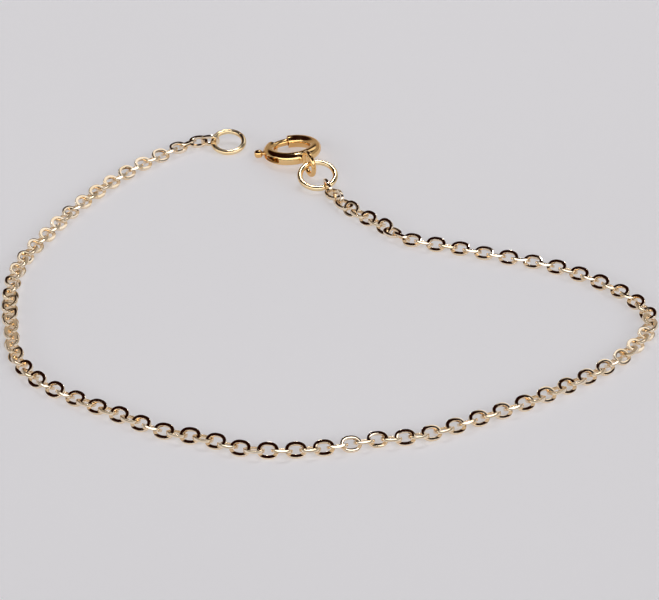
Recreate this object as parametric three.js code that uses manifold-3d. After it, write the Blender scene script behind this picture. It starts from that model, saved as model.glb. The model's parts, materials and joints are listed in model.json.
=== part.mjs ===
// Chain bracelet: a fine flat cable chain that lies unclasped in a loop, with a spring-ring clasp on one
// end and a plain jump ring on the other. Millimetres, +Z up. It lies on z = 0, and the origin is under
// the middle of the loop.
import * as THREE from "three";
import { mergeVertices } from "three/addons/utils/BufferGeometryUtils.js";
import Module from "manifold-3d";

const wasm = await Module();
wasm.setup();

const { degToRad, lerp } = THREE.MathUtils;

// One link of the cable: an oval of flat band. The row of links alternates 45 degrees either way.
const link = { length: 1.97, width: 1.63, band: 0.33, thickness: 0.28 };

// The chain as one tube: what a row of such links measures across, with a flat facet underneath.
const chain = { across: 1.32, sides: 8, steps: 60, gapToEndLink: 0.3 };

// Jump rings: centreline radius, wire diameter, how far the far side is lifted, where the seam is cut and
// where the chain's end link hangs (degrees round the ring), and how far that link rides above the wire.
const claspRing = {
  centre: new THREE.Vector3(-1.2, 20.42, 1.21),
  radius: 1.8,
  wire: 0.55,
  tiltDeg: 19,
  seamDeg: 205,
  linkDeg: -60,
  linkLift: 0.1,
};
const endRing = {
  centre: new THREE.Vector3(-10.45, 28.75, 0.72),
  radius: 1.58,
  wire: 0.55,
  tiltDeg: 16,
  seamDeg: 40,
  linkDeg: 174,
  linkLift: 0.05,
};
const ringSeam = 0.05;
const ringSegments = 36;
const wireSides = 10;
const linkPlay = 0.06; // left between a jump ring's wire and the inner end of its link

// Spring-ring clasp. Angles run round the clasp's own axis.
const clasp = {
  centre: new THREE.Vector3(-3.85, 26.5, 0.965),
  tiltDeg: 7.5,
  liftedSideDeg: -40,
  radius: 2.35, // of the tube's centreline
  tube: 1.3,
  bore: 0.9,
  gapStartDeg: 102,
  gapEndDeg: 150,
  eyeletDeg: 294,
};
const eyelet = { radius: 1.15, wire: 0.5, centreFromAxis: 4.45 };
const bolt = { wire: 0.72, tipDeg: 96, tailDeg: 200, knobDeg: 184, travelDeg: 52 };
const knob = { stemRadius: 0.22, headRadius: 0.42, headStart: 3.12, headEnd: 3.9 }; // from the axis
const slot = { height: 0.6, innerRadius: 2.5, playDeg: 7.5 };

// The chain's route in plan, from beside the clasp ring round to beside the end ring.
const routePlan = [
  [1.6, 15.1], [4.9, 11.3], [7.3, 8.5], [12.0, 6.6], [16.8, 4.7], [21.4, 2.9], [25.7, -0.1],
  [28.9, -3.7], [30.2, -7.5], [28.7, -11.8], [25.6, -15.9], [21.7, -19.4], [17.5, -22.5],
  [13.1, -25.2], [8.8, -27.6], [6.4, -28.3], [4.0, -28.6], [1.6, -29.4], [-3.0, -30.3],
  [-7.9, -30.0], [-10.2, -28.8], [-12.5, -27.9], [-14.7, -27.2], [-18.9, -24.4], [-23.0, -21.6],
  [-26.8, -18.2], [-29.1, -13.7], [-29.9, -8.8], [-30.4, -3.9], [-30.3, 1.0], [-29.3, 5.4],
  [-27.6, 9.6], [-25.3, 14.7], [-22.8, 19.0], [-20.0, 23.0], [-16.8, 26.5], [-15.2, 28.0],
  [-13.8, 29.0],
];

const yellowGold = { color: 0xd8b26a, metalness: 1, roughness: 0.22 };
const warmGold = { color: 0xc9913f, metalness: 1, roughness: 0.26 };

// An arc about the Z axis, as a path for a wire.
class ArcPath extends THREE.Curve {
  constructor(radius, startDeg, endDeg) {
    super();
    Object.assign(this, { radius, startDeg, endDeg });
  }

  getPoint(t, target = new THREE.Vector3()) {
    const angle = degToRad(lerp(this.startDeg, this.endDeg, t));
    return target.set(this.radius * Math.cos(angle), this.radius * Math.sin(angle), 0);
  }
}

// The stretch of a curve between two distances along it.
class Stretch extends THREE.Curve {
  constructor(whole, from, to) {
    super();
    const length = whole.getLength();
    Object.assign(this, { whole, start: from / length, end: to / length });
  }

  getPoint(t, target) {
    return this.whole.getPointAt(lerp(this.start, this.end, t), target);
  }
}

// A regular polygon with a flat side towards each axis.
function roundSection(radius, sides) {
  const corners = Array.from({ length: sides }, (_, i) => {
    const angle = ((i + 0.5) / sides) * 2 * Math.PI;
    return new THREE.Vector2(radius * Math.cos(angle), radius * Math.sin(angle));
  });
  return new THREE.Shape(corners);
}

function wireAlong(path, diameter, sides, steps) {
  const settings = { extrudePath: path, steps, bevelEnabled: false };
  return new THREE.ExtrudeGeometry(roundSection(diameter / 2, sides), settings);
}

// A closed ring of round wire about the Y axis.
function closedRing(radius, diameter, sides, segments) {
  const profile = Array.from({ length: sides + 1 }, (_, i) => {
    const angle = (((i % sides) + 0.5) / sides) * 2 * Math.PI;
    return new THREE.Vector2(radius + (diameter / 2) * Math.cos(angle), (diameter / 2) * Math.sin(angle));
  });
  return new THREE.LatheGeometry(profile, segments);
}

// A turned piece whose axis lies along +X; each profile point is [radius, distance along the axis].
function turnedAlongX(profile, segments) {
  const points = profile.map(([radius, along]) => new THREE.Vector2(radius, along));
  return new THREE.LatheGeometry(points, segments).rotateZ(-Math.PI / 2);
}

// A flat sector about the Z axis, of one height, centred on z = 0.
function sectorBlock(innerRadius, outerRadius, startDeg, endDeg, height) {
  const shape = new THREE.Shape();
  shape.absarc(0, 0, outerRadius, degToRad(startDeg), degToRad(endDeg), false);
  shape.absarc(0, 0, innerRadius, degToRad(endDeg), degToRad(startDeg), true);
  const settings = { depth: height, bevelEnabled: false, curveSegments: 12 };
  return new THREE.ExtrudeGeometry(shape, settings).translate(0, 0, -height / 2);
}

function solidOf(geometry) {
  geometry.deleteAttribute("normal");
  geometry.deleteAttribute("uv");
  const merged = mergeVertices(geometry, 1e-4);
  return new wasm.Manifold(
    new wasm.Mesh({
      numProp: 3,
      vertProperties: merged.attributes.position.array,
      triVerts: new Uint32Array(merged.index.array),
    }),
  );
}

function geometryOf(solid) {
  const mesh = solid.getMesh();
  return new THREE.BufferGeometry()
    .setAttribute("position", new THREE.BufferAttribute(mesh.vertProperties, 3))
    .setIndex(new THREE.BufferAttribute(mesh.triVerts, 1));
}

function namedMesh(name, geometry, finish) {
  const mesh = new THREE.Mesh(geometry, new THREE.MeshStandardMaterial(finish));
  mesh.name = name;
  return mesh;
}

function jumpRing(name, ring) {
  const halfSeamDeg = THREE.MathUtils.radToDeg(ringSeam / ring.radius / 2);
  const arc = new ArcPath(ring.radius, ring.seamDeg + halfSeamDeg, ring.seamDeg + 360 - halfSeamDeg);
  const mesh = namedMesh(name, wireAlong(arc, ring.wire, wireSides, ringSegments), yellowGold);
  mesh.position.copy(ring.centre);
  mesh.rotation.x = degToRad(ring.tiltDeg);
  return mesh;
}

// Where the chain's end link hangs on a jump ring: its centre, and its axes along the chain, across the
// link and through its flat side. The hole lies square to the ring's wire.
function endLinkPlace(ring, neighbour) {
  const tilt = new THREE.Euler(degToRad(ring.tiltDeg), 0, 0);
  const angle = degToRad(ring.linkDeg);
  const wirePoint = new THREE.Vector3(Math.cos(angle), Math.sin(angle), 0)
    .multiplyScalar(ring.radius)
    .applyEuler(tilt)
    .add(ring.centre);
  const wireDirection = new THREE.Vector3(-Math.sin(angle), Math.cos(angle), 0).applyEuler(tilt);
  const along = new THREE.Vector3(neighbour[0], neighbour[1], 0).sub(wirePoint).setZ(0).normalize();
  const through = wireDirection.addScaledVector(along, -wireDirection.dot(along)).normalize();
  const across = new THREE.Vector3().crossVectors(through, along);
  const reach = link.length / 2 - link.band - ring.wire / 2 - linkPlay;
  const centre = wirePoint.addScaledVector(along, reach).setZ(wirePoint.z + ring.linkLift);
  return { centre, along, across, through };
}

function endLink(name, place) {
  const straight = (link.length - link.width) / 2;
  const oval = (path, radius) =>
    path
      .absarc(straight, 0, radius, -Math.PI / 2, Math.PI / 2, false)
      .absarc(-straight, 0, radius, Math.PI / 2, (3 * Math.PI) / 2, false)
      .lineTo(straight, -radius);
  const outline = oval(new THREE.Shape(), link.width / 2);
  outline.holes.push(oval(new THREE.Path(), link.width / 2 - link.band));
  const settings = { depth: link.thickness, bevelEnabled: false, curveSegments: 8 };
  const flat = new THREE.ExtrudeGeometry(outline, settings).translate(0, 0, -link.thickness / 2);
  const mesh = namedMesh(name, flat, yellowGold);
  mesh.position.copy(place.centre);
  mesh.quaternion.setFromRotationMatrix(
    new THREE.Matrix4().makeBasis(place.along, place.across, place.through),
  );
  return mesh;
}

function chainTube(firstPlace, lastPlace) {
  const row = routePlan.map(([x, y]) => new THREE.Vector3(x, y, chain.across / 2));
  const ends = [firstPlace, lastPlace].map((place) => place.centre.clone().setZ(chain.across / 2));
  const route = new THREE.CatmullRomCurve3([ends[0], ...row, ends[1]]);
  const trim = link.length / 2 + chain.gapToEndLink;
  const stretch = new Stretch(route, trim, route.getLength() - trim);
  const cornerToCorner = chain.across / Math.cos(Math.PI / chain.sides);
  return namedMesh("chain", wireAlong(stretch, cornerToCorner, chain.sides, chain.steps), yellowGold);
}

function claspBody() {
  const tubeSegments = 48;
  const tubeSides = 14;
  const tube = closedRing(clasp.radius, clasp.tube, tubeSides, tubeSegments).rotateX(Math.PI / 2);
  const bore = closedRing(clasp.radius, clasp.bore, tubeSides, tubeSegments).rotateX(Math.PI / 2);
  const past = clasp.radius + clasp.tube; // further out than the tube reaches
  const gap = sectorBlock(0.5, past, clasp.gapStartDeg, clasp.gapEndDeg, 2 * clasp.tube);
  const slotCut = sectorBlock(
    slot.innerRadius,
    past,
    bolt.knobDeg - slot.playDeg,
    bolt.knobDeg + bolt.travelDeg + slot.playDeg,
    slot.height,
  );
  const toEyelet = degToRad(clasp.eyeletDeg);
  const eyeletRing = closedRing(eyelet.radius, eyelet.wire, wireSides, 28)
    .translate(eyelet.centreFromAxis, 0, 0)
    .rotateZ(toEyelet);
  const tubeWall = clasp.radius + clasp.bore / 2 + 0.08;
  const eyeletWire = eyelet.centreFromAxis - eyelet.radius;
  const solder = turnedAlongX(
    [
      [0, tubeWall],
      [0.36, tubeWall],
      [0.25, tubeWall + 0.2],
      [0.22, eyeletWire],
      [0, eyeletWire],
    ],
    12,
  ).rotateZ(toEyelet);
  const body = solidOf(tube)
    .subtract(solidOf(bore))
    .subtract(solidOf(gap))
    .subtract(solidOf(slotCut))
    .add(solidOf(eyeletRing))
    .add(solidOf(solder));
  return namedMesh("clasp_body", geometryOf(body), warmGold);
}

function triggerBolt() {
  const arc = new ArcPath(clasp.radius, bolt.tipDeg, bolt.tailDeg);
  const wire = wireAlong(arc, bolt.wire, 12, 26);
  const { stemRadius, headRadius, headStart, headEnd } = knob;
  const trigger = turnedAlongX(
    [
      [0, clasp.radius],
      [stemRadius, clasp.radius],
      [stemRadius, headStart],
      [0.75 * headRadius, headStart],
      [headRadius, headStart + 0.12],
      [headRadius, headEnd - 0.32],
      [0.75 * headRadius, headEnd - 0.1],
      [0.3 * headRadius, headEnd],
      [0, headEnd],
    ],
    14,
  ).rotateZ(degToRad(bolt.knobDeg));
  return namedMesh("trigger_bolt", geometryOf(solidOf(wire).add(solidOf(trigger))), warmGold);
}

// The clasp lies with one side lifted: it turns about the level line square to that side.
function claspAssembly() {
  const side = degToRad(clasp.liftedSideDeg);
  const levelLine = new THREE.Vector3(Math.sin(side), -Math.cos(side), 0);
  const group = new THREE.Group();
  group.position.copy(clasp.centre);
  group.quaternion.setFromAxisAngle(levelLine, degToRad(clasp.tiltDeg));
  group.add(claspBody(), triggerBolt());
  return group;
}

const firstPlace = endLinkPlace(claspRing, routePlan[0]);
const lastPlace = endLinkPlace(endRing, routePlan[routePlan.length - 1]);

const bracelet = new THREE.Group();
bracelet.add(
  claspAssembly(),
  jumpRing("clasp_ring", claspRing),
  endLink("clasp_end_link", firstPlace),
  chainTube(firstPlace, lastPlace),
  endLink("plain_end_link", lastPlace),
  jumpRing("end_ring", endRing),
);

export default bracelet;
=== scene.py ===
import json
import math

import bpy
from mathutils import Matrix, Vector

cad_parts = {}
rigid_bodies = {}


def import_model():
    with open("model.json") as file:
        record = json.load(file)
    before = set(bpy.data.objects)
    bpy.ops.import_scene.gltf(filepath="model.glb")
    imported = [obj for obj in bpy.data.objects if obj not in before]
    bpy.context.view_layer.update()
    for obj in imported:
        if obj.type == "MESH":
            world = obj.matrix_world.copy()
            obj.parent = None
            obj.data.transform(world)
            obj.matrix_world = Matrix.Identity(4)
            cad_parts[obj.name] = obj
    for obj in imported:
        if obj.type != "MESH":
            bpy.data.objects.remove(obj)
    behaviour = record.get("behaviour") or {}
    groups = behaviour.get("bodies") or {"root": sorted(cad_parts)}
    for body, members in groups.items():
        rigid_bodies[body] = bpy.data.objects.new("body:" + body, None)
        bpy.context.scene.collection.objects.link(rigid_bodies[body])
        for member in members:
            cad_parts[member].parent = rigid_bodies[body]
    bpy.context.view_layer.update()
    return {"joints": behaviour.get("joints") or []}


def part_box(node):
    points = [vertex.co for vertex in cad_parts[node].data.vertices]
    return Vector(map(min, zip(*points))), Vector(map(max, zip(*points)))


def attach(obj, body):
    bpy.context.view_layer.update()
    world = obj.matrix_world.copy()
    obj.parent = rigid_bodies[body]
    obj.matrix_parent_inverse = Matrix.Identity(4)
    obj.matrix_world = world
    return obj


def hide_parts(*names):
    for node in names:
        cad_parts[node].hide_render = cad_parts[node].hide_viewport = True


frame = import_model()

sceneNow = bpy.context.scene
millimetre = 0.001


def boxMiddle(node):
    low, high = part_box(node)
    return (low + high) / 2


def meshObject(name, verts, faces):
    mesh = bpy.data.meshes.new(name)
    mesh.from_pydata([tuple(v) for v in verts], [], faces)
    mesh.update()
    piece = bpy.data.objects.new(name, mesh)
    sceneNow.collection.objects.link(piece)
    return piece


def bakeModifiers(piece):
    # the evaluated shape becomes the piece's own plain mesh
    bpy.context.view_layer.update()
    evaluated = piece.evaluated_get(bpy.context.evaluated_depsgraph_get())
    mesh = bpy.data.meshes.new_from_object(evaluated)
    mesh.name = piece.name
    piece.modifiers.clear()
    piece.data = mesh
    return piece


wideFaceWeight = 85  # out of 100: how far a wide face wins over the narrow one beside it


def finishPiece(piece, material, slot, body, *nodes, sharpDeg=40, keepFlats=False):
    piece.data.materials.clear()
    piece.data.materials.append(material)
    piece.data.shade_smooth()
    piece.data.set_sharp_from_angle(angle=math.radians(sharpDeg))
    if keepFlats:
        # wide faces keep their own direction, only the narrow corners between them shade round
        flats = piece.modifiers.new("flats", "WEIGHTED_NORMAL")
        flats.weight = wideFaceWeight
        flats.keep_sharp = True
        bakeModifiers(piece)
    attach(piece, body)
    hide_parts(*nodes)
    return piece


# camera: a long lens low over the table

cameraPlan = {
    "distanceBack": 0.283,
    "height": 0.16183,
    "downDeg": 30,
    "focalInWidths": 5.1411,  # focal length as a share of the picture's width
    "sensor": 36,
    "clipStart": 0.01,
    "clipEnd": 10,
}


def makeCamera():
    data = bpy.data.cameras.new("camera")
    data.sensor_width = cameraPlan["sensor"]
    data.lens = cameraPlan["sensor"] * cameraPlan["focalInWidths"]
    data.clip_start = cameraPlan["clipStart"]
    data.clip_end = cameraPlan["clipEnd"]
    camera = bpy.data.objects.new("camera", data)
    camera.location = (0, -cameraPlan["distanceBack"], cameraPlan["height"])
    camera.rotation_euler = (math.radians(90 - cameraPlan["downDeg"]), 0, 0)
    sceneNow.collection.objects.link(camera)
    sceneNow.camera = camera


makeCamera()
print("camera set")


def addNode(tree, kind, inputs=None, **settings):
    # inputs are keyed by socket name or number, and hold a value or another node's output
    node = tree.nodes.new(kind)
    for name, value in settings.items():
        setattr(node, name, value)
    for key, value in (inputs or {}).items():
        if isinstance(value, bpy.types.NodeSocket):
            tree.links.new(value, node.inputs[key])
        else:
            node.inputs[key].default_value = value
    return node


def calc(tree, operation, *values):
    return addNode(tree, "ShaderNodeMath", dict(enumerate(values)), operation=operation).outputs[0]


# gold finishes: patches and ripple are counted per metre, and the ripple's depth is in metres
goldFinish = {
    "chain": {
        "colour": (0.93, 0.8, 0.635),
        "deeperColour": (0.88, 0.715, 0.5),
        "roughness": (0.02, 0.09),
        "patchPerMetre": 700,
        "ripplePerMetre": 2600,
        "rippleDepth": 0.000004,
    },
    "ring": {
        "colour": (0.94, 0.77, 0.5),
        "deeperColour": (0.89, 0.66, 0.36),
        "roughness": (0.08, 0.18),
        "patchPerMetre": 500,
        "ripplePerMetre": 1500,
        "rippleDepth": 0.000006,
    },
    "clasp": {
        "colour": (0.93, 0.64, 0.3),
        "deeperColour": (0.86, 0.52, 0.2),
        "roughness": (0.1, 0.22),
        "patchPerMetre": 450,
        "ripplePerMetre": 1200,
        "rippleDepth": 0.000007,
    },
}

# where the noise behind the deeper patches and the rubbed places starts to show, and shows in full
goldWear = {
    "deeperFrom": 0.42,
    "deeperFull": 0.7,
    "rubbedPerPatch": 2.3,  # rubbed places are smaller than the deeper patches by this
    "rubbedFrom": 0.35,
    "rubbedFull": 0.68,
}


def goldMaterial(name):
    look = goldFinish[name]
    material = bpy.data.materials.new(name + " gold")
    material.use_nodes = True
    tree = material.node_tree
    shader = tree.nodes["Principled BSDF"]
    shader.inputs["Metallic"].default_value = 1
    place = addNode(tree, "ShaderNodeTexCoord").outputs["Object"]

    # the alloy shows a little deeper in soft patches
    patches = addNode(tree, "ShaderNodeTexNoise",
                      {"Vector": place, "Scale": look["patchPerMetre"], "Detail": 2})
    tone = addNode(tree, "ShaderNodeMapRange",
                   {"Value": patches.outputs["Fac"], "From Min": goldWear["deeperFrom"],
                    "From Max": goldWear["deeperFull"]})
    colour = addNode(tree, "ShaderNodeMix", {
        "Factor": tone.outputs["Result"],
        "A": (*look["colour"], 1),
        "B": (*look["deeperColour"], 1),
    }, data_type="RGBA")
    tree.links.new(colour.outputs["Result"], shader.inputs["Base Color"])

    # smaller places are rubbed less bright
    rubbedPerMetre = look["patchPerMetre"] * goldWear["rubbedPerPatch"]
    rubbed = addNode(tree, "ShaderNodeTexNoise",
                     {"Vector": place, "Scale": rubbedPerMetre, "Detail": 4})
    sheen = addNode(tree, "ShaderNodeMapRange", {
        "Value": rubbed.outputs["Fac"],
        "From Min": goldWear["rubbedFrom"],
        "From Max": goldWear["rubbedFull"],
        "To Min": look["roughness"][0],
        "To Max": look["roughness"][1],
    })
    tree.links.new(sheen.outputs["Result"], shader.inputs["Roughness"])

    # drawn wire is never quite even: a faint ripple under the polish
    ripple = addNode(tree, "ShaderNodeTexNoise",
                     {"Vector": place, "Scale": look["ripplePerMetre"], "Detail": 2})
    bump = addNode(tree, "ShaderNodeBump", {
        "Height": ripple.outputs["Fac"],
        "Distance": look["rippleDepth"],
        "Strength": 1.0,
    })
    tree.links.new(bump.outputs["Normal"], shader.inputs["Normal"])
    return material


chainGold = goldMaterial("chain")
ringGold = goldMaterial("ring")
claspGold = goldMaterial("clasp")
print("materials made")

# the chain: a row of flat oval links, each turned a quarter from the last
chainPlan = {
    "links": 135,
    "linkLength": 0.00197,
    "linkWidth": 0.00163,
    "band": 0.00033,
    "thickness": 0.00028,
    "cornerRadius": 0.00003,
    "cornerPoints": 3,
    "ovalPoints": 26,
    "sharpDeg": 50,
    "hang": 0.00061,  # no link's middle lies lower than this
    "squareness": 2.3,  # 2 would be a true ellipse
    "settleDeg": 19,  # play between the links lets each one lean over this much further
    "wobbleDeg": 8,
    "sideWobble": 0.4,  # share of it that a link also tips and swings by
    "seed": 7,
    "routeSteps": 24,  # between one point of the route and the next
    # from the clasp round to the plain end, in metres; the end links' own places come before and after
    "route": [
        (0.0016, 0.0151), (0.0049, 0.0113), (0.0073, 0.0085), (0.0120, 0.0066),
        (0.0168, 0.0047), (0.0214, 0.0029), (0.0257, -0.0001), (0.0289, -0.0037),
        (0.0302, -0.0075), (0.0287, -0.0118), (0.0256, -0.0159), (0.0217, -0.0194),
        (0.0175, -0.0225), (0.0131, -0.0252), (0.0088, -0.0276), (0.0064, -0.0283),
        (0.0040, -0.0286), (0.0016, -0.0294), (-0.0030, -0.0303), (-0.0079, -0.0300),
        (-0.0102, -0.0288), (-0.0125, -0.0279), (-0.0147, -0.0272), (-0.0189, -0.0244),
        (-0.0230, -0.0216), (-0.0268, -0.0182), (-0.0291, -0.0137), (-0.0299, -0.0088),
        (-0.0304, -0.0039), (-0.0303, 0.0010), (-0.0293, 0.0054), (-0.0276, 0.0096),
        (-0.0253, 0.0147), (-0.0228, 0.0190), (-0.0200, 0.0230), (-0.0168, 0.0265),
        (-0.0152, 0.0280), (-0.0138, 0.0290),
    ],
    # how far the row is rolled about its own length, from its links lying flat: 135 rests evenly on
    # both edges; the end links hang upright on their rings, and a quarter twist lies near the clasp
    "restRollDeg": 133,
    "startRollsDeg": [97, 64, 46, 128],
    "endRollsDeg": [128, 118, 102],
}


def chainRoute():
    first = boxMiddle("clasp_end_link")
    last = boxMiddle("plain_end_link")
    upright = chainPlan["linkWidth"] / 2
    places = [(first.x, first.y, first.z - upright)]
    places += [(x, y, 0) for x, y in chainPlan["route"]]
    places += [(last.x, last.y, last.z - upright)]
    starts = chainPlan["startRollsDeg"]
    ends = chainPlan["endRollsDeg"]
    rests = [chainPlan["restRollDeg"]] * (len(places) - len(starts) - len(ends))
    curve = bpy.data.curves.new("chain_links", "CURVE")
    curve.dimensions = "3D"
    curve.resolution_u = chainPlan["routeSteps"]
    spline = curve.splines.new("BEZIER")
    spline.bezier_points.add(len(places) - 1)
    for point, place, roll in zip(spline.bezier_points, places, starts + rests + ends):
        point.co = place
        point.tilt = math.radians(roll)
        point.handle_left_type = "AUTO"
        point.handle_right_type = "AUTO"
    route = bpy.data.objects.new("chain_route", curve)
    sceneNow.collection.objects.link(route)
    return route


def linkTree():
    tree = bpy.data.node_groups.new("cable links", "GeometryNodeTree")
    tree.interface.new_socket("Route", in_out="INPUT", socket_type="NodeSocketGeometry")
    tree.interface.new_socket("Links", in_out="INPUT", socket_type="NodeSocketInt")
    for name in ("Link length", "Link width", "Band", "Thickness", "Corner radius", "Squareness",
                 "Settle", "Hang", "Wobble"):
        tree.interface.new_socket(name, in_out="INPUT", socket_type="NodeSocketFloat")
    tree.interface.new_socket("Gold", in_out="INPUT", socket_type="NodeSocketMaterial")
    tree.interface.new_socket("Chain", in_out="OUTPUT", socket_type="NodeSocketGeometry")
    given = tree.nodes.new("NodeGroupInput").outputs
    index = addNode(tree, "GeometryNodeInputIndex").outputs[0]

    # section of the wire, pressed to a flat band with soft corners
    section = addNode(tree, "GeometryNodeFilletCurve", {
        "Curve": addNode(tree, "GeometryNodeCurvePrimitiveQuadrilateral",
                         {"Width": given["Band"], "Height": given["Thickness"]}).outputs["Curve"],
        "Radius": given["Corner radius"],
        "Count": chainPlan["cornerPoints"],
    }, mode="POLY")

    # one link: a long oval through the middle of the band
    ovalWidth = calc(tree, "SUBTRACT", given["Link width"], given["Band"])
    ovalLength = calc(tree, "SUBTRACT", given["Link length"], given["Band"])
    around = calc(tree, "MULTIPLY", index, 2 * math.pi / chainPlan["ovalPoints"])
    power = calc(tree, "DIVIDE", 2, given["Squareness"])

    def ovalReach(function, size):
        wave = calc(tree, function, around)
        share = calc(tree, "POWER", calc(tree, "ABSOLUTE", wave), power)
        return calc(tree, "MULTIPLY", calc(tree, "MULTIPLY", calc(tree, "SIGN", wave), share),
                    calc(tree, "MULTIPLY", size, 0.5))

    ovalAt = addNode(tree, "ShaderNodeCombineXYZ",
                     {"X": ovalReach("COSINE", ovalLength), "Y": ovalReach("SINE", ovalWidth)})
    oval = addNode(tree, "GeometryNodeSetPosition", {
        "Geometry": addNode(tree, "GeometryNodeCurvePrimitiveCircle",
                            {"Resolution": chainPlan["ovalPoints"]}).outputs["Curve"],
        "Position": ovalAt.outputs["Vector"],
    })
    link = addNode(tree, "GeometryNodeCurveToMesh", {
        "Curve": oval.outputs["Geometry"],
        "Profile Curve": section.outputs["Curve"],
    })

    # places along the route, every link a quarter turn on from the last
    places = addNode(tree, "GeometryNodeResampleCurve",
                     {"Curve": given["Route"], "Count": given["Links"]})
    quarter = calc(tree, "MULTIPLY", calc(tree, "MODULO", index, 2), math.pi / 2)
    lean = calc(tree, "ADD", addNode(tree, "GeometryNodeInputCurveTilt").outputs[0], quarter)
    over = calc(tree, "MULTIPLY", calc(tree, "SINE", calc(tree, "MULTIPLY", lean, 2)),
                given["Settle"])
    roll = calc(tree, "SUBTRACT", lean, over)
    sideWobble = calc(tree, "MULTIPLY", given["Wobble"], -chainPlan["sideWobble"])
    low = addNode(tree, "ShaderNodeCombineXYZ", {
        "X": calc(tree, "MULTIPLY", given["Wobble"], -1),
        "Y": sideWobble,
        "Z": sideWobble,
    })
    high = addNode(tree, "ShaderNodeVectorMath", {0: low.outputs[0], "Scale": -1},
                   operation="SCALE")
    shake = addNode(tree, "FunctionNodeRandomValue",
                    {0: low.outputs[0], 1: high.outputs[0], "Seed": chainPlan["seed"]},
                    data_type="FLOAT_VECTOR")
    rolled = addNode(tree, "ShaderNodeCombineXYZ", {"X": roll})
    turn = addNode(tree, "ShaderNodeVectorMath", {0: rolled.outputs[0], 1: shake.outputs[0]},
                   operation="ADD")
    alongRoute = addNode(tree, "FunctionNodeAxesToRotation", {
        "Primary Axis": addNode(tree, "GeometryNodeInputTangent").outputs[0],
        "Secondary Axis": (0, 0, 1),
    }, primary_axis="X", secondary_axis="Z")
    turned = addNode(tree, "FunctionNodeRotateRotation", {
        "Rotation": alongRoute.outputs[0],
        "Rotate By": addNode(tree, "FunctionNodeEulerToRotation", {0: turn.outputs[0]}).outputs[0],
    }, rotation_space="LOCAL")

    # a steep link stands higher than one that lies nearly flat
    onEdge = calc(tree, "MULTIPLY", calc(tree, "ABSOLUTE", calc(tree, "SINE", roll)),
                  given["Link width"])
    onFace = calc(tree, "MULTIPLY", calc(tree, "ABSOLUTE", calc(tree, "COSINE", roll)),
                  given["Thickness"])
    ownHeight = calc(tree, "MULTIPLY", calc(tree, "ADD", onEdge, onFace), 0.5)
    height = calc(tree, "MAXIMUM", ownHeight, given["Hang"])
    seated = addNode(tree, "GeometryNodeSetPosition", {
        "Geometry": places.outputs["Curve"],
        "Offset": addNode(tree, "ShaderNodeCombineXYZ", {"Z": height}).outputs[0],
    })
    row = addNode(tree, "GeometryNodeInstanceOnPoints", {
        "Points": seated.outputs["Geometry"],
        "Instance": link.outputs["Mesh"],
        "Rotation": turned.outputs[0],
    })
    real = addNode(tree, "GeometryNodeRealizeInstances", {0: row.outputs["Instances"]})
    golden = addNode(tree, "GeometryNodeSetMaterial",
                     {"Geometry": real.outputs[0], "Material": given["Gold"]})
    addNode(tree, "NodeGroupOutput", {0: golden.outputs[0]})
    return tree


def makeChain():
    route = chainRoute()
    links = route.modifiers.new("links", "NODES")
    links.node_group = linkTree()
    values = {
        "Links": chainPlan["links"],
        "Link length": chainPlan["linkLength"],
        "Link width": chainPlan["linkWidth"],
        "Band": chainPlan["band"],
        "Thickness": chainPlan["thickness"],
        "Corner radius": chainPlan["cornerRadius"],
        "Squareness": chainPlan["squareness"],
        "Settle": math.radians(chainPlan["settleDeg"]),
        "Hang": chainPlan["hang"],
        "Wobble": math.radians(chainPlan["wobbleDeg"]),
        "Gold": chainGold,
    }
    for socket in links.node_group.interface.items_tree:
        if socket.in_out == "INPUT" and socket.name in values:
            links[socket.identifier] = values[socket.name]
    bpy.context.view_layer.update()
    evaluated = route.evaluated_get(bpy.context.evaluated_depsgraph_get())
    mesh = bpy.data.meshes.new_from_object(evaluated)
    mesh.name = "chain_links"
    routeLength = route.data.splines[0].calc_length()
    bpy.data.objects.remove(route)
    chain = bpy.data.objects.new("chain_links", mesh)
    sceneNow.collection.objects.link(chain)
    finishPiece(chain, chainGold, "chain_gold", "bracelet",
                "chain", "clasp_end_link", "plain_end_link",
                sharpDeg=chainPlan["sharpDeg"], keepFlats=True)
    pitch = routeLength / (chainPlan["links"] - 1) / millimetre
    print(f"chain: {chainPlan['links']} links, {len(mesh.polygons)} faces, pitch {pitch:.4f} mm")


makeChain()


def sweptWire(stations, sides):
    # stations are (centre, outward, upward, radius) in order along the wire; both ends are closed
    verts = []
    faces = []
    for centre, outward, upward, radius in stations:
        for k in range(sides):
            a = 2 * math.pi * k / sides
            verts.append(centre + (outward * math.cos(a) + upward * math.sin(a)) * radius)
    for i in range(len(stations) - 1):
        for k in range(sides):
            n = (k + 1) % sides
            faces.append((i * sides + k, (i + 1) * sides + k, (i + 1) * sides + n, i * sides + n))
    for i, turned in ((0, True), (len(stations) - 1, False)):
        verts.append(stations[i][0])
        for k in range(sides):
            rim = (i * sides + k, i * sides + (k + 1) % sides)
            faces.append((*rim, len(verts) - 1) if turned else (*reversed(rim), len(verts) - 1))
    return verts, faces


def arcStation(arcRadius, angle, wireRadius):
    outward = Vector((math.cos(angle), math.sin(angle), 0))
    return (outward * arcRadius, outward, Vector((0, 0, 1)), wireRadius)


def arcWire(arcRadius, wireRadius, startDeg, endDeg, steps, sides, ends):
    # ends lists (distance in from the tip, share of the full radius) for the rounding at each end,
    # as one list for the start and one for the finish
    start = math.radians(startDeg)
    end = math.radians(endDeg)
    startIn = max(d for d, _ in ends[0]) / arcRadius
    endIn = max(d for d, _ in ends[1]) / arcRadius
    stations = [arcStation(arcRadius, start + d / arcRadius, wireRadius * share)
                for d, share in ends[0]]
    for i in range(1, steps):
        t = i / steps
        angle = (start + startIn) * (1 - t) + (end - endIn) * t
        stations.append(arcStation(arcRadius, angle, wireRadius))
    stations += [arcStation(arcRadius, end - d / arcRadius, wireRadius * share)
                 for d, share in reversed(ends[1])]
    return sweptWire(stations, sides)


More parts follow.
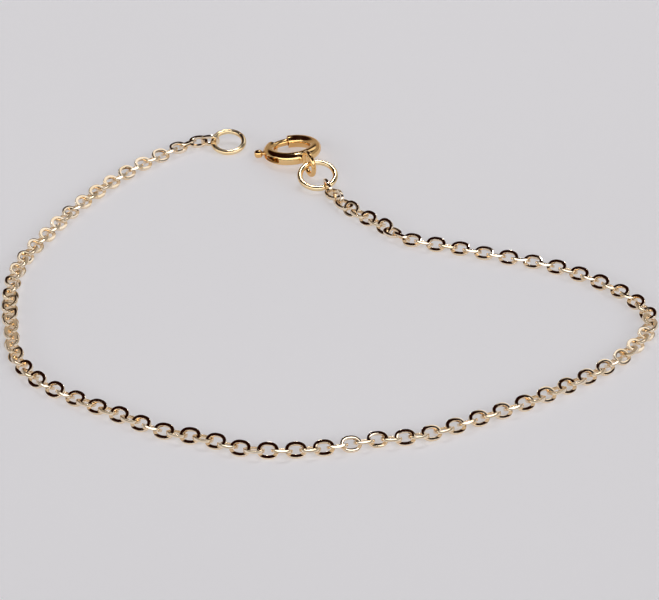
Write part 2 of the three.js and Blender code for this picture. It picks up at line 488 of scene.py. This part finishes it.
def turnedShape(profile, sides):
    # profile points are (radius, distance along +X), from the axis back to the axis
    verts = []
    faces = []
    inner = profile[1:-1]
    for radius, along in inner:
        for k in range(sides):
            a = 2 * math.pi * k / sides
            verts.append(Vector((along, radius * math.cos(a), radius * math.sin(a))))
    for i in range(len(inner) - 1):
        for k in range(sides):
            n = (k + 1) % sides
            faces.append((i * sides + k, (i + 1) * sides + k, (i + 1) * sides + n, i * sides + n))
    last = (len(inner) - 1) * sides
    verts += [Vector((profile[0][1], 0, 0)), Vector((profile[-1][1], 0, 0))]
    for k in range(sides):
        n = (k + 1) % sides
        faces.append((k, n, len(verts) - 2))
        faces.append((last + n, last + k, len(verts) - 1))
    return verts, faces


def roundedEnd(depth, steps):
    # a quarter-ellipse nose: distance in from the tip against the share of the full radius
    narrowest = 0.06  # the first ring of points keeps a little width
    rows = []
    for i in range(steps + 1):
        a = math.pi / 2 * i / steps
        rows.append((depth * (1 - math.cos(a)), max(math.sin(a), narrowest)))
    return rows


# jump rings, each with its cut seam
jumpRings = {
    "clasp_ring": {"radius": 0.0018, "wire": 0.00055, "tiltDeg": 19, "seamDeg": 205},
    "end_ring": {"radius": 0.00158, "wire": 0.00055, "tiltDeg": 16, "seamDeg": 40},
}
ringCut = {"gap": 0.00005, "bevel": 0.00003, "sides": 24, "steps": 120}


def makeJumpRing(node):
    plan = jumpRings[node]
    wireRadius = plan["wire"] / 2
    halfGapDeg = math.degrees(ringCut["gap"] / plan["radius"] / 2)
    cutFace = [(0, 1 - ringCut["bevel"] / wireRadius), (ringCut["bevel"], 1)]
    verts, faces = arcWire(plan["radius"], wireRadius, plan["seamDeg"] + halfGapDeg,
                           plan["seamDeg"] + 360 - halfGapDeg, ringCut["steps"], ringCut["sides"],
                           (cutFace, cutFace))
    tilt = Matrix.Rotation(math.radians(plan["tiltDeg"]), 4, "X")
    place = Matrix.Translation(boxMiddle(node)) @ tilt
    ring = meshObject(node + "_wire", [place @ v for v in verts], faces)
    finishPiece(ring, ringGold, "ring_gold", "bracelet", node)
    print(f"{node}: {len(faces)} faces")


for node in jumpRings:
    makeJumpRing(node)

# spring-ring clasp: lengths from the clasp's own axis, angles round it
claspPlan = {
    "radius": 0.00235,
    "tube": 0.0013,
    "wall": 0.0002,
    "gapStartDeg": 102,
    "gapEndDeg": 150,
    "slotStartDeg": 176.5,
    "slotEndDeg": 243.5,
    "slotHeight": 0.0006,
    "slotEndHeight": 0.42,  # share of its height that the slot has at its very ends
    "slotColumns": (-1, -0.55, -0.2, 0, 0.2, 0.55, 1),  # round each end, in halves of its height
    "slotRows": 6,
    "lip": 0.00005,
    "lipSegments": 3,
    "lipSharpDeg": 55,
    "columns": 96,
    "rows": 40,
    "eyeletDeg": 294,
    "eyeletRadius": 0.00115,
    "eyeletWire": 0.0005,
    "eyeletFromAxis": 0.00445,
    "eyeletSegments": 72,
    "eyeletSides": 20,
    # the solder between tube and eyelet as (radius, distance outwards): from the skin of the tube,
    # then from the eyelet's wire
    "solderFoot": [(0, -0.00017), (0.00046, -0.00017), (0.00037, -0.00007), (0.0003, 0.00001),
                   (0.00026, 0.00008)],
    "solderTop": [(0.00025, -0.00012), (0.00026, -0.00004), (0.00022, 0.00008), (0, 0.00008)],
    "solderSides": 32,
}
boltPlan = {
    "wire": 0.00072,
    "tipDeg": 96,
    "tailDeg": 200,
    "knobDeg": 184,
    "steps": 60,
    "sides": 28,
    # rounding of each end as (depth in radii of the wire, steps)
    "tipNose": (0.9, 6),
    "tailNose": (0.4, 4),
    "knobSides": 36,
    # the thumb knob as (radius, distance from the axis)
    "knob": [
        (0, 0.00235), (0.00022, 0.00235), (0.00022, 0.00308), (0.00026, 0.00311),
        (0.00033, 0.00313), (0.00039, 0.00318), (0.00042, 0.00326), (0.00043, 0.00338),
        (0.00043, 0.00352), (0.00041, 0.00366), (0.00036, 0.00378), (0.00027, 0.00386),
        (0.00014, 0.0039), (0, 0.0039),
    ],
}
claspJoint = frame["joints"][0]


def claspPlace():
    lean = Vector((0, 0, 1)).rotation_difference(Vector(claspJoint["axis"]))
    return Matrix.Translation(Vector(claspJoint["pos_m"])) @ lean.to_matrix().to_4x4()


def slotHalfAngle(angle):
    # half the slot's height as an angle round the tube, rounded off towards its two ends
    plan = claspPlan
    tubeRadius = plan["tube"] / 2
    halfHeight = plan["slotHeight"] / 2
    reach = halfHeight / (plan["radius"] + tubeRadius)
    fromEnd = min(abs(angle - math.radians(plan["slotStartDeg"])),
                  abs(angle - math.radians(plan["slotEndDeg"])))
    t = min(fromEnd / reach, 1)
    ending = plan["slotEndHeight"]
    height = halfHeight * (ending + (1 - ending) * math.sqrt(1 - (1 - t) ** 2))
    return math.asin(height / tubeRadius)


def claspColumns():
    # even columns round the tube, drawn in to the slot's ends
    plan = claspPlan
    start = math.radians(plan["gapEndDeg"])
    end = math.radians(plan["gapStartDeg"] + 360)
    reach = plan["slotHeight"] / 2 / (plan["radius"] + plan["tube"] / 2)
    marks = []
    for edge in (math.radians(plan["slotStartDeg"]), math.radians(plan["slotEndDeg"])):
        marks += [edge + reach * share for share in plan["slotColumns"]]
    step = (end - start) / plan["columns"]
    tooNear = step * 0.45
    plain = [start + step * i for i in range(plan["columns"] + 1)]
    plain = [a for a in plain if all(abs(a - m) > tooNear for m in marks)]
    return sorted(plain + marks)


def claspShell():
    # the tube's outer skin as a grid with the knob's slot left open
    plan = claspPlan
    columns = claspColumns()
    bandRows = plan["slotRows"]
    otherRows = plan["rows"] - bandRows
    hair = 1e-6
    slotStart = math.radians(plan["slotStartDeg"]) - hair
    slotEnd = math.radians(plan["slotEndDeg"]) + hair
    verts = []
    for angle in columns:
        half = slotHalfAngle(angle)
        turns = [half * (2 * j / bandRows - 1) for j in range(bandRows)]
        turns += [half + (2 * math.pi - 2 * half) * j / otherRows for j in range(otherRows)]
        for v in turns:
            out = plan["radius"] + plan["tube"] / 2 * math.cos(v)
            verts.append(Vector((out * math.cos(angle), out * math.sin(angle),
                                 plan["tube"] / 2 * math.sin(v))))
    faces = []
    rows = plan["rows"]
    for i in range(len(columns) - 1):
        inSlot = columns[i] > slotStart and columns[i + 1] < slotEnd
        for j in range(rows):
            if inSlot and j < bandRows:
                continue
            n = (j + 1) % rows
            faces.append((i * rows + j, (i + 1) * rows + j, (i + 1) * rows + n, i * rows + n))
    return verts, faces


def eyeletAndSolder():
    plan = claspPlan
    ring = []
    sides = plan["eyeletSides"]
    segments = plan["eyeletSegments"]
    for i in range(segments):
        a = 2 * math.pi * i / segments
        outward = Vector((math.cos(a), 0, math.sin(a)))
        centre = Vector((plan["eyeletFromAxis"], 0, 0)) + outward * plan["eyeletRadius"]
        for k in range(sides):
            b = 2 * math.pi * k / sides
            ring.append(centre + (outward * math.cos(b) + Vector((0, 1, 0)) * math.sin(b))
                        * plan["eyeletWire"] / 2)
    faces = []
    for i in range(segments):
        m = (i + 1) % segments
        for k in range(sides):
            n = (k + 1) % sides
            faces.append((i * sides + k, i * sides + n, m * sides + n, m * sides + k))
    turn = Matrix.Rotation(math.radians(plan["eyeletDeg"]), 4, "Z")
    eyelet = meshObject("eyelet", [turn @ v for v in ring], faces)
    skin = plan["radius"] + plan["tube"] / 2
    wire = plan["eyeletFromAxis"] - plan["eyeletRadius"]
    profile = [(radius, skin + out) for radius, out in plan["solderFoot"]]
    profile += [(radius, wire + out) for radius, out in plan["solderTop"]]
    verts, faces = turnedShape(profile, plan["solderSides"])
    solder = meshObject("solder", [turn @ v for v in verts], faces)
    return eyelet, solder


def joinSolids(piece, *others):
    for other in others:
        union = piece.modifiers.new(other.name, "BOOLEAN")
        union.operation = "UNION"
        union.solver = "EXACT"
        union.object = other
    bakeModifiers(piece)
    for other in others:
        bpy.data.objects.remove(other)


def makeClaspBody():
    plan = claspPlan
    body = meshObject("clasp_tube", *claspShell())
    wall = body.modifiers.new("wall", "SOLIDIFY")
    wall.thickness = plan["wall"]
    wall.offset = -1
    wall.use_even_offset = True
    lips = body.modifiers.new("lips", "BEVEL")
    lips.width = plan["lip"]
    lips.segments = plan["lipSegments"]
    lips.limit_method = "ANGLE"
    lips.angle_limit = math.radians(plan["lipSharpDeg"])
    bakeModifiers(body)
    joinSolids(body, *eyeletAndSolder())
    body.data.transform(claspPlace())
    finishPiece(body, claspGold, "clasp_gold", "bracelet", "clasp_body")
    print(f"clasp body: {len(body.data.polygons)} faces")


def makeTriggerBolt():
    plan = boltPlan
    wireRadius = plan["wire"] / 2
    noses = [roundedEnd(wireRadius * depth, steps)
             for depth, steps in (plan["tipNose"], plan["tailNose"])]
    verts, faces = arcWire(claspPlan["radius"], wireRadius, plan["tipDeg"], plan["tailDeg"],
                           plan["steps"], plan["sides"], noses)
    bolt = meshObject("trigger_wire", verts, faces)
    turn = Matrix.Rotation(math.radians(plan["knobDeg"]), 4, "Z")
    verts, faces = turnedShape(plan["knob"], plan["knobSides"])
    joinSolids(bolt, meshObject("knob", [turn @ v for v in verts], faces))
    bolt.data.transform(claspPlace())
    finishPiece(bolt, claspGold, "clasp_gold", "trigger", "trigger_bolt")
    print(f"trigger bolt: {len(bolt.data.polygons)} faces")


makeClaspBody()
makeTriggerBolt()

# table top and light
studio = {
    "floorSize": 4,
    "floorColour": (0.75, 0.757, 0.805),
    "floorRoughness": 0.55,
    "floorSpecular": 0.25,
    "cloudsPerMetre": 14,  # the table top is very slightly uneven in tone
    "cloudShades": (0.985, 1.015),
    "paintedFillGlow": 0.268,  # the table top glows by itself with painted fill light, which keeps the shadows faint
    "paintedFillGlowColour": (1, 0.985, 1.02),
    "wallsLow": (0.36, 0.34, 0.315),
    "wallsHigh": (2.35, 2.32, 2.28),  # above the height below, on the viewer's side only
    "wallsHighFromDeg": 16,
    "nearFade": 0.3,  # how soon the high walls come in towards the viewer's side
    "edgeDeg": 2.5,  # softness of every edge in the room
    # parts of the room: turn from straight towards the viewer round to the right, height, radius;
    # a later one lies over those before it
    "patches": [
        # a warm far wall, the dark ceiling, a far window, a lamp
        {"colour": (0.42, 0.35, 0.27), "turnDeg": 185, "upDeg": 5, "radiusDeg": 48},
        {"colour": (0.015, 0.003, 0.0008), "turnDeg": 215, "upDeg": 80, "radiusDeg": 60},
        {"colour": (1.05, 1.03, 1), "turnDeg": 142, "upDeg": 44, "radiusDeg": 15},
        {"colour": (2.8, 2.75, 2.7), "turnDeg": 83, "upDeg": 70.5, "radiusDeg": 4},
    ],
    "shown": (0.62, 0.61, 0.64),  # what the camera itself sees past the table top
    "keySize": 0.055,
    "keyPlace": (0, 0.18, 0.41),
    "keyWatts": 0.22,
}


def makeFloor():
    half = studio["floorSize"] / 2
    corners = [(-half, -half, 0), (half, -half, 0), (half, half, 0), (-half, half, 0)]
    floor = meshObject("floor", corners, [(0, 1, 2, 3)])
    material = bpy.data.materials.new("table top")
    material.use_nodes = True
    tree = material.node_tree
    shader = tree.nodes["Principled BSDF"]
    shader.inputs["Roughness"].default_value = studio["floorRoughness"]
    shader.inputs["Specular IOR Level"].default_value = studio["floorSpecular"]
    place = addNode(tree, "ShaderNodeTexCoord").outputs["Object"]
    clouds = addNode(tree, "ShaderNodeTexNoise",
                     {"Vector": place, "Scale": studio["cloudsPerMetre"], "Detail": 1})
    tone = addNode(tree, "ShaderNodeMapRange", {
        "Value": clouds.outputs["Fac"],
        "From Min": 0.3,
        "From Max": 0.7,
        "To Min": studio["cloudShades"][0],
        "To Max": studio["cloudShades"][1],
    })
    colour = addNode(tree, "ShaderNodeVectorMath",
                     {0: studio["floorColour"], "Scale": tone.outputs["Result"]}, operation="SCALE")
    tree.links.new(colour.outputs[0], shader.inputs["Base Color"])
    # painted fill light: the table top glows, so the shadows under the chain stay faint
    shader.inputs["Emission Color"].default_value = (*studio["paintedFillGlowColour"], 1)
    shader.inputs["Emission Strength"].default_value = studio["paintedFillGlow"]
    floor.data.materials.append(material)


def makeSky():
    # dim walls all round, lit higher up on the viewer's side, and over them the parts of the room;
    # the flats of the links mirror the dark ceiling
    world = bpy.data.worlds.new("room")
    sceneNow.world = world
    world.use_nodes = True
    tree = world.node_tree
    direction = addNode(tree, "ShaderNodeTexCoord").outputs["Generated"]
    split = addNode(tree, "ShaderNodeSeparateXYZ", {0: direction}).outputs
    softness = math.radians(studio["edgeDeg"])

    def fromTo(value, low, high):
        step = addNode(tree, "ShaderNodeMapRange",
                       {"Value": value, "From Min": low, "From Max": high},
                       interpolation_type="SMOOTHSTEP")
        return step.outputs["Result"]

    def mixed(factor, plain, other):
        node = addNode(tree, "ShaderNodeMix", {"Factor": factor}, data_type="RGBA")
        for name, colour in (("A", plain), ("B", other)):
            socket = next(s for s in node.inputs if s.name == name and s.type == "RGBA")
            if isinstance(colour, bpy.types.NodeSocket):
                tree.links.new(colour, socket)
            else:
                socket.default_value = (*colour, 1)
        return next(s for s in node.outputs if s.type == "RGBA")

    edge = math.radians(studio["wallsHighFromDeg"])
    high = fromTo(split["Z"], math.sin(edge - softness), math.sin(edge + softness))
    near = fromTo(calc(tree, "MULTIPLY", split["Y"], -1), 0, studio["nearFade"])
    room = mixed(calc(tree, "MULTIPLY", high, near), studio["wallsLow"], studio["wallsHigh"])
    for patch in studio["patches"]:
        turn = math.radians(patch["turnDeg"])
        up = math.radians(patch["upDeg"])
        radius = math.radians(patch["radiusDeg"])
        middle = (math.sin(turn) * math.cos(up), -math.cos(turn) * math.cos(up), math.sin(up))
        towards = addNode(tree, "ShaderNodeVectorMath", {0: direction, 1: middle},
                          operation="DOT_PRODUCT")
        inside = fromTo(towards.outputs["Value"], math.cos(radius + softness),
                        math.cos(radius - softness))
        room = mixed(inside, room, patch["colour"])
    seen = addNode(tree, "ShaderNodeLightPath").outputs["Is Camera Ray"]
    tree.links.new(mixed(seen, room, studio["shown"]), tree.nodes["Background"].inputs["Color"])


def makeKeyLight():
    light = bpy.data.lights.new("key", "AREA")
    light.shape = "DISK"
    light.size = studio["keySize"]
    light.energy = studio["keyWatts"]
    key = bpy.data.objects.new("key", light)
    key.location = studio["keyPlace"]
    key.rotation_mode = "QUATERNION"
    key.rotation_quaternion = (-key.location).to_track_quat("-Z", "Y")
    sceneNow.collection.objects.link(key)


makeFloor()
makeSky()
makeKeyLight()
sceneNow.view_settings.view_transform = "Standard"
print("studio lit")
